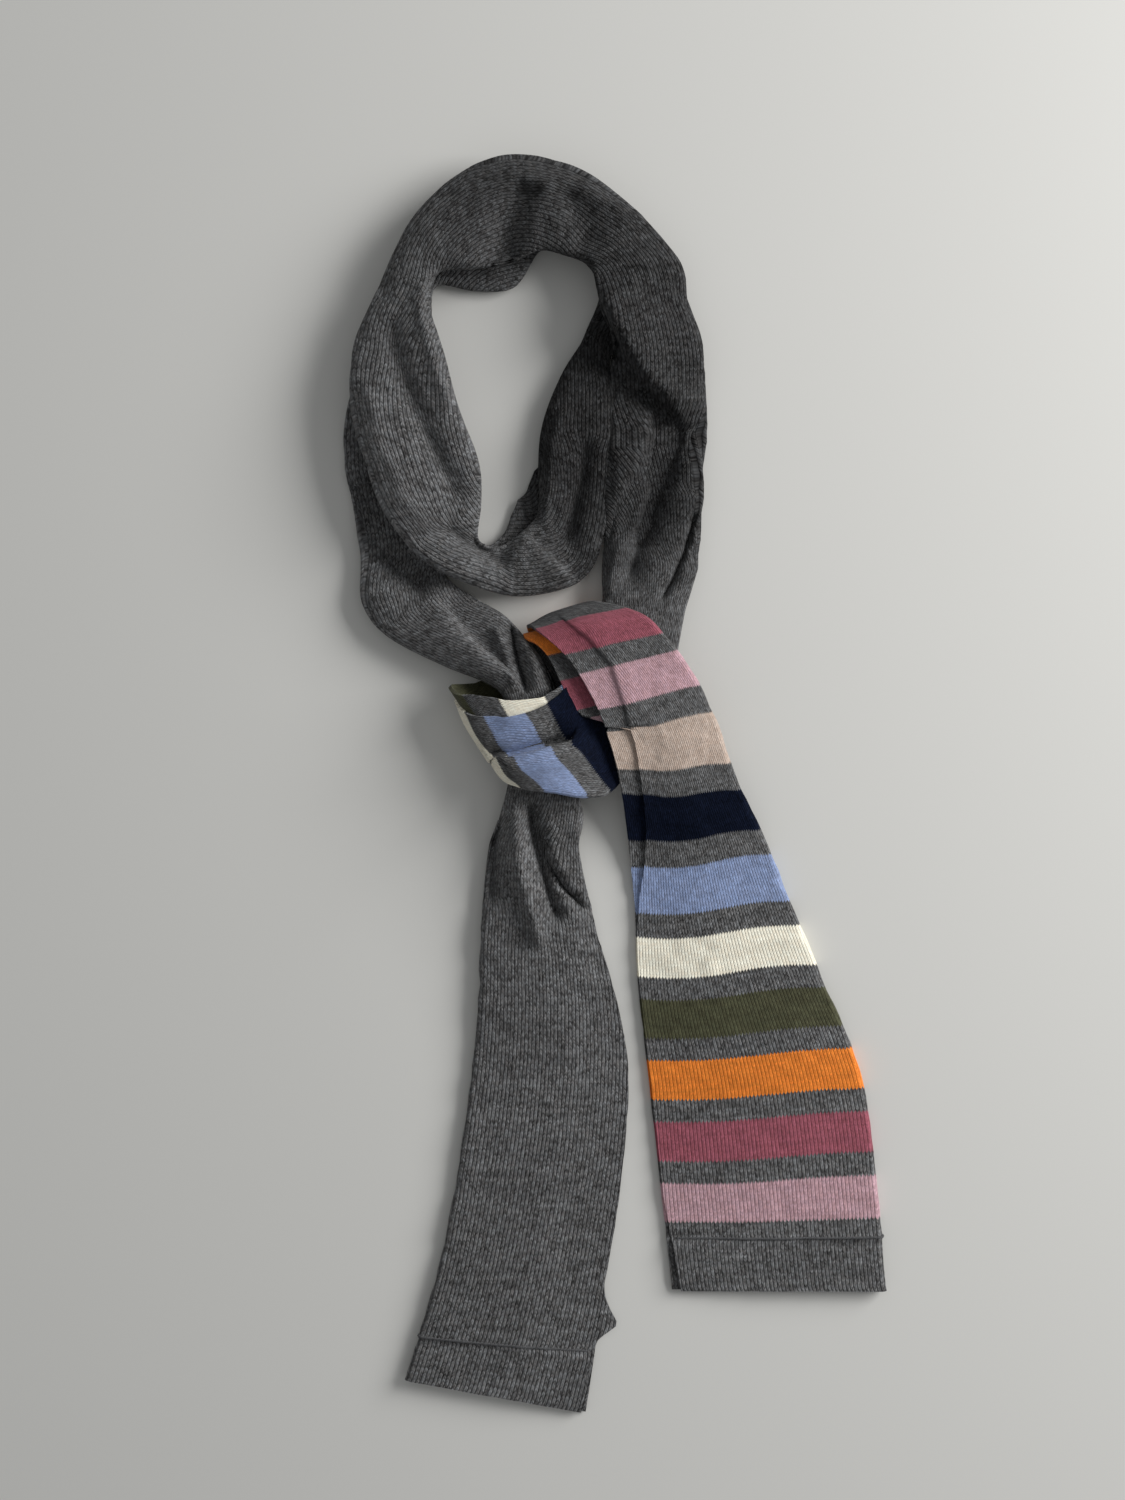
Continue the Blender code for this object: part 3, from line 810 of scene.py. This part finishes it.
ROUGHNESS, TOP_POLISH = 0.95, 0.12      # between the stitches, and how much smoother their tops are
SPECULAR = 0.22
SHEEN = 0.12
SHEEN_ROUGHNESS = 0.5
NAVY_SHEEN = 0.15           # how much of the other yarns' gloss and sheen the darkest yarn has
DARKEST = 0.12              # no stitch is darker than this against its yarn
BUMP_HEIGHT = 0.0006        # metres
WHOLE_BUMP = 0.3            # how much of the bump differs from stitch to stitch
WARM_TINT, COOL_TINT = (1.03, 1.0, 0.975, 1), (0.97, 1.0, 1.02, 1)

# The jersey stitch, in wales and courses: the slant of its legs, the roundness and the hollow of a wale, and
# how deep it is between two courses
LEG_SLANT = 1.5
WALE_ROUNDNESS = 0.75
HOLLOW_SLOPE, HOLLOW_DEPTH = 3.0, 0.62
LOOP_ROUNDNESS, LOOP_HEIGHT = 0.6, 0.45

# The melange: how much the whole stitch counts against its legs, the streaks along the courses and the broad
# clouds, each as (steps to a wale, steps to a course, seed), and how strong they are
WHOLE_SHARE = 0.35
LEG_COURSES = 1.6
STREAKS, CLOUDS = (0.07, 0.45, 4.0), (0.06, 0.035, 9.0)
STREAK_STRENGTH = 1.3
CLOUD_STRENGTH = 0.30

# Linear colour of each yarn, and how far its stitches differ from one another
YARNS = {
    "pink": ((0.50, 0.31, 0.345), 0.3),
    "rose": ((0.31, 0.085, 0.115), 0.34),
    "orange": ((0.80, 0.22, 0.028), 0.24),
    "olive": ((0.066, 0.066, 0.034), 0.36),
    "cream": ((0.93, 0.88, 0.73), 0.14),
    "blue": ((0.25, 0.315, 0.50), 0.3),
    "navy": ((0.0045, 0.0068, 0.0165), 0.5),
    "beige": ((0.53, 0.42, 0.35), 0.26),
    "grey": ((0.130, 0.129, 0.130), 0.85),
}


class Nodes:
    """Short calls for building a material's nodes. do() is any Math node."""

    def __init__(self, material):
        material.use_nodes = True
        self.tree = material.node_tree
        self.shader = self.tree.nodes["Principled BSDF"]

    def new(self, kind, **settings):
        node = self.tree.nodes.new(kind)
        for name, value in settings.items():
            setattr(node, name, value)
        return node

    def feed(self, socket, value):
        if isinstance(value, bpy.types.NodeSocket):
            self.tree.links.new(value, socket)
        else:
            socket.default_value = value

    def do(self, operation, first, second=0.0, third=0.0):
        node = self.new("ShaderNodeMath", operation=operation)
        for socket, value in zip(node.inputs, (first, second, third)):
            self.feed(socket, value)
        return node.outputs[0]

    def mix(self, share, first, second, blend="MIX"):
        node = self.new("ShaderNodeMix", data_type="RGBA", blend_type=blend)
        self.feed(node.inputs[0], share)
        self.feed(node.inputs[6], first)
        self.feed(node.inputs[7], second)
        return node.outputs[2]

    def noise(self, vector, scale, detail=2.0):
        node = self.new("ShaderNodeTexNoise", noise_dimensions="3D")
        self.feed(node.inputs["Vector"], vector)
        self.feed(node.inputs["Scale"], scale)
        self.feed(node.inputs["Detail"], detail)
        return node.outputs["Fac"]

    def place(self, x, y, z=0.0):
        node = self.new("ShaderNodeCombineXYZ")
        for socket, value in zip(node.inputs, (x, y, z)):
            self.feed(socket, value)
        return node.outputs[0]


def colour(yarn):
    return (*YARNS[yarn][0], 1)


def speckle(nodes, x, y, seed):
    """A random value for each whole step of x and y."""
    cell = nodes.place(nodes.do("FLOOR", x), nodes.do("FLOOR", y), seed)
    node = nodes.new("ShaderNodeTexWhiteNoise", noise_dimensions="3D")
    nodes.feed(node.inputs["Vector"], cell)
    return node.outputs["Value"]


def stitch_relief(nodes, wales, courses):
    """(height, stitch, off_centre): the relief of jersey stitches, 0 between them and 1 on top, which course
    it is, and how far from the middle of the wale."""
    in_wale = nodes.do("FRACT", wales)
    off_centre = nodes.do("ABSOLUTE", nodes.do("SUBTRACT", in_wale, 0.5))
    stitch = nodes.do("SUBTRACT", courses, nodes.do("MULTIPLY", off_centre, LEG_SLANT))
    dome = nodes.do("POWER", nodes.do("SINE", nodes.do("MULTIPLY", in_wale, math.pi)), WALE_ROUNDNESS)
    legs = nodes.do("MINIMUM", nodes.do("MULTIPLY_ADD", off_centre, HOLLOW_SLOPE, HOLLOW_DEPTH), 1.0)
    loop = nodes.do("ABSOLUTE", nodes.do("SINE", nodes.do("MULTIPLY", stitch, math.pi)))
    round_loop = nodes.do(
        "MULTIPLY_ADD", nodes.do("POWER", loop, LOOP_ROUNDNESS), LOOP_HEIGHT, 1 - LOOP_HEIGHT
    )
    return nodes.do("MULTIPLY", nodes.do("MULTIPLY", dome, legs), round_loop), stitch, off_centre


def melange(nodes, wales, stitch, courses, contrast):
    """(lightness, whole): how light each stitch is against the mean of the yarn, and its own random value."""
    whole = speckle(nodes, wales, stitch, 1.0)
    leg = speckle(nodes, nodes.do("MULTIPLY", wales, 2.0), nodes.do("MULTIPLY", stitch, LEG_COURSES), 2.0)
    streak, cloud = (
        nodes.noise(nodes.place(
            nodes.do("MULTIPLY", wales, to_wale), nodes.do("MULTIPLY", courses, to_course), seed
        ), 1.0)
        for to_wale, to_course, seed in (STREAKS, CLOUDS)
    )
    mixed = nodes.do("MULTIPLY_ADD", leg, 1 - WHOLE_SHARE, nodes.do("MULTIPLY", whole, WHOLE_SHARE))
    swing = nodes.do("MULTIPLY_ADD", nodes.do("SUBTRACT", mixed, 0.5), 2.0 * contrast, 1.0)
    bands = nodes.do("MULTIPLY_ADD", nodes.do("SUBTRACT", streak, 0.5), STREAK_STRENGTH * contrast, 1.0)
    clouds = nodes.do("MULTIPLY_ADD", cloud, CLOUD_STRENGTH, 1 - CLOUD_STRENGTH / 2)
    return nodes.do("MULTIPLY", nodes.do("MULTIPLY", swing, bands), clouds), whole


def knit_material(name, yarn, before, after, start, end):
    """Jersey knitting of one yarn between two courses, its ends interlocking with the neighbours' yarns."""
    material = bpy.data.materials.new(name)
    nodes = Nodes(material)
    knit = nodes.new("ShaderNodeUVMap", uv_map="knit")
    split = nodes.new("ShaderNodeSeparateXYZ")
    nodes.feed(split.inputs[0], knit.outputs[0])
    wales = nodes.do("DIVIDE", split.outputs[0], WALE * MM)
    courses = nodes.do("DIVIDE", split.outputs[1], COURSE * MM)
    height, stitch, off_centre = stitch_relief(nodes, wales, courses)
    fleck, whole = melange(nodes, wales, stitch, courses, YARNS[yarn][1])
    kind = "grey" if yarn == "grey" else "colour"
    dark, light = GROOVES[kind]
    groove = nodes.do("MULTIPLY_ADD", height, light, dark)
    # Painted shade along the path: it darkens the yarn's colour here, and its gloss and sheen below
    lightness = nodes.new("ShaderNodeAttribute", attribute_name="grey_level").outputs["Fac"]
    shade = nodes.do("MULTIPLY", nodes.do("MAXIMUM", nodes.do("MULTIPLY", fleck, groove), DARKEST), lightness)

    # The border between two yarns runs up and down with the legs of the stitches.
    rise = nodes.do("MULTIPLY_ADD", off_centre, -2.0 * COURSE * MM, 0.5 * COURSE * MM)
    jagged = nodes.do("ADD", split.outputs[1], rise)
    base = colour(yarn)
    for neighbour, side, border in ((before, "LESS_THAN", start), (after, "GREATER_THAN", end)):
        if neighbour != yarn:
            base = nodes.mix(nodes.do(side, jagged, border * MM), base, colour(neighbour))
    grey_level = nodes.new("ShaderNodeCombineColor")
    for socket in grey_level.inputs[0:3]:
        nodes.feed(socket, shade)
    lit = nodes.mix(1.0, base, grey_level.outputs[0], "MULTIPLY")
    tint = nodes.mix(whole, WARM_TINT, COOL_TINT)
    nodes.feed(nodes.shader.inputs["Base Color"], nodes.mix(1.0, lit, tint, "MULTIPLY"))
    nodes.feed(nodes.shader.inputs["Roughness"], nodes.do("MULTIPLY_ADD", height, -TOP_POLISH, ROUGHNESS))
    gloss = NAVY_SHEEN if yarn == "navy" else 1.0
    # The painted shade dims the gloss and the sheen as well
    nodes.feed(nodes.shader.inputs["Specular IOR Level"], nodes.do("MULTIPLY", lightness, SPECULAR * gloss))
    nodes.feed(nodes.shader.inputs["Sheen Weight"], nodes.do("MULTIPLY", lightness, SHEEN * gloss))
    nodes.feed(nodes.shader.inputs["Sheen Roughness"], SHEEN_ROUGHNESS)
    bump = nodes.new("ShaderNodeBump")
    nodes.feed(bump.inputs["Strength"], BUMPS[kind])
    nodes.feed(bump.inputs["Distance"], BUMP_HEIGHT)
    nodes.feed(bump.inputs["Height"], nodes.do("ADD", height, nodes.do("MULTIPLY", whole, WHOLE_BUMP)))
    nodes.feed(nodes.shader.inputs["Normal"], bump.outputs[0])
    return material


THREAD_COLOUR = (0.10, 0.10, 0.103, 1)
THREAD_FLECKS, THREAD_FIBRES = 1400.0, 2600.0   # to a metre
THREAD_CONTRAST, THREAD_DARKEST = 1.6, 0.1
THREAD_ROUGHNESS, THREAD_BUMP = 0.9, 0.0002


def thread_material(name):
    """The linking thread: the grey yarn, a little darker, with its flecks along it."""
    material = bpy.data.materials.new(name)
    nodes = Nodes(material)
    place = nodes.new("ShaderNodeTexCoord").outputs["Object"]
    fleck = nodes.noise(place, THREAD_FLECKS)
    shade = nodes.do("MULTIPLY_ADD", fleck, THREAD_CONTRAST, THREAD_DARKEST)
    grey_level = nodes.new("ShaderNodeCombineColor")
    for socket in grey_level.inputs[0:3]:
        nodes.feed(socket, shade)
    nodes.feed(nodes.shader.inputs["Base Color"], nodes.mix(1.0, THREAD_COLOUR, grey_level.outputs[0], "MULTIPLY"))
    nodes.feed(nodes.shader.inputs["Roughness"], THREAD_ROUGHNESS)
    bump = nodes.new("ShaderNodeBump")
    nodes.feed(bump.inputs["Distance"], THREAD_BUMP)
    nodes.feed(bump.inputs["Height"], nodes.noise(place, THREAD_FIBRES))
    nodes.feed(nodes.shader.inputs["Normal"], bump.outputs[0])
    return material


def plain_material(name, shade, roughness):
    material = bpy.data.materials.new(name)
    nodes = Nodes(material)
    nodes.feed(nodes.shader.inputs["Base Color"], (*shade, 1))
    nodes.feed(nodes.shader.inputs["Roughness"], roughness)
    return material


# The stage

CAMERA_HEIGHT = 1.06
CAMERA_LENS = 50.0
FRAME_MIDDLE = (1.3, -5.1)  # millimetres from the knot
FLOOR_SIZE = 14
FLOOR_GAP = 0.0002
FLOOR_SHADE = (0.70, 0.692, 0.66)
FLOOR_ROUGHNESS = 0.9
LAMP_PLACE = (1.45, 0.6, 0.8)
LAMP_SIZE = (1.2, 0.9)
LAMP_WATTS = 36
ROOM_LIGHT, ROOM_STRENGTH = (0.96, 0.98, 1.0, 1), 0.29


def light_stage():
    """A pale floor, a soft window light from the upper right, and the camera straight above."""
    bpy.ops.mesh.primitive_plane_add(size=FLOOR_SIZE, location=(0, 0, FLOOR - FLOOR_GAP))
    floor = bpy.context.object
    floor.name = "floor"
    floor.data.materials.append(plain_material("pale_floor", FLOOR_SHADE, FLOOR_ROUGHNESS))
    window = bpy.data.lights.new("window", "AREA")
    window.shape = "RECTANGLE"
    window.size, window.size_y = LAMP_SIZE
    window.energy = LAMP_WATTS
    lamp = bpy.data.objects.new("window", window)
    lamp.location = LAMP_PLACE
    lamp.rotation_euler = (-lamp.location).to_track_quat("-Z", "Y").to_euler()
    bpy.context.scene.collection.objects.link(lamp)
    world = bpy.data.worlds.new("room")
    world.use_nodes = True
    background = world.node_tree.nodes["Background"]
    background.inputs["Color"].default_value = ROOM_LIGHT
    background.inputs["Strength"].default_value = ROOM_STRENGTH
    bpy.context.scene.world = world
    camera = bpy.data.objects.new("camera", bpy.data.cameras.new("camera"))
    camera.data.lens = CAMERA_LENS
    middle = (knot_middle() + FRAME_MIDDLE) * MM
    camera.location = (middle[0], middle[1], FLOOR + CAMERA_HEIGHT)
    bpy.context.scene.collection.objects.link(camera)
    bpy.context.scene.camera = camera
    bpy.context.scene.view_settings.view_transform = "Standard"


# Bodies and joints

# Millimetres of the path on each side of a joint, and how near to them a piece may come and still ride on its
# body
BEND_REACH = {"striped_tail_swing": 42, "plain_tail_swing": 32}
LIFT_REACH = 27
BEND_MARGIN = 30


class Motion:
    """Which body each length of the scarf follows, and the stretch of it round each joint."""

    def __init__(self, path):
        behaviour = frame["record"]["behaviour"]
        self.body_of = {node: body for body, nodes in behaviour["bodies"].items() for node in nodes}
        places = np.linspace(0, path.length, 4000)
        lie = path.at(places)
        middles = (lie[:, 0:3] + lie[:, 3:6]) / 2
        self.bends = []
        for joint in behaviour["joints"]:
            centre = np.array(joint["pos_m"]) / MM
            at = places[np.argmin(np.linalg.norm(middles - centre, axis=1))]
            reach = BEND_REACH.get(joint["name"], LIFT_REACH)
            side = -1 if joint["child"].startswith("striped") else 1
            start, end = (self.middle(path, at - side * reach), self.middle(path, at + side * reach))
            self.bends.append((joint, at - reach, at + reach, start, end))

    def middle(self, path, at):
        lie = path.at(np.array([at]))[0]
        return tuple((lie[0:3] + lie[3:6]) / 2 * MM)

    def attach(self, piece, node, start, end):
        """Leaves the piece off its body, with its place baked in, if it comes near the nearest joint, or lets
        it ride on its body.
        """
        middle = (start + end) / 2
        nearest = min(self.bends, key=lambda bend: abs(bend[1] + bend[2] - 2 * middle))
        joint, low, high, bend_start, bend_end = nearest
        if start < high + BEND_MARGIN and end > low - BEND_MARGIN:
            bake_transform(piece)
        else:
            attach(piece, self.body_of[node])


def main():
    path = Path(centred(STRIPED_TAIL + KNOT_WRAP + OUTER_LOOP + INNER_LOOP + PLAIN_TAIL))
    all_stretches = stretches(bands(path))
    rows, borders = grid_rows(all_stretches)
    points, at = lay_sheet(path, rows)
    sideways = np.linalg.norm(np.diff(points, axis=1), axis=-1)
    uv_u = np.concatenate([np.zeros((len(rows), 1)), np.cumsum(sideways, axis=1)], axis=1)
    crowding = wale_crowding(rows, uv_u[:, -1])
    uv_u = (uv_u - uv_u[:, TOP_COLUMNS + FOLD_COLUMNS // 2][:, None]) * crowding[:, None]
    uv_v = np.repeat(rows[:, None], points.shape[1], axis=1)
    points = settle(points, rows)
    points = fold_cloth(points, at, knot_middle())
    points[..., 2] = np.maximum(points[..., 2], THICK / 2)
    normals = grid_normals(points)
    outer = points + normals * THICK / 2
    inner = points - normals * THICK / 2
    # Painted shade for each point of the sheet, from its place along the path
    grey_level = keyed(PAINTED_SHADE, at)
    motion = Motion(path)
    yarns = [stretch[2] for stretch in all_stretches]
    for k, (name, node, yarn, start, end) in enumerate(all_stretches):
        low, high = borders[k], borders[k + 1] + 1
        grids = (outer, inner, normals, uv_u, uv_v, grey_level)
        piece = cut_piece(name, *(grid[low:high] for grid in grids))
        before = yarns[max(k - 1, 0)]
        after = yarns[min(k + 1, len(yarns) - 1)]
        piece.data.materials.append(knit_material(name, yarn, before, after, start, end))
        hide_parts(node)
        motion.attach(piece, node, start, end)
    for node, at in (("striped_hem_thread", HEM_DEPTH), ("plain_hem_thread", path.length - HEM_DEPTH)):
        row = int(np.argmin(np.abs(rows - at)))
        cord = linking_cord(node, outer[row], normals[row])
        cord.data.materials.append(thread_material(node))
        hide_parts(node)
        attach(cord, motion.body_of[node])
    light_stage()


main()
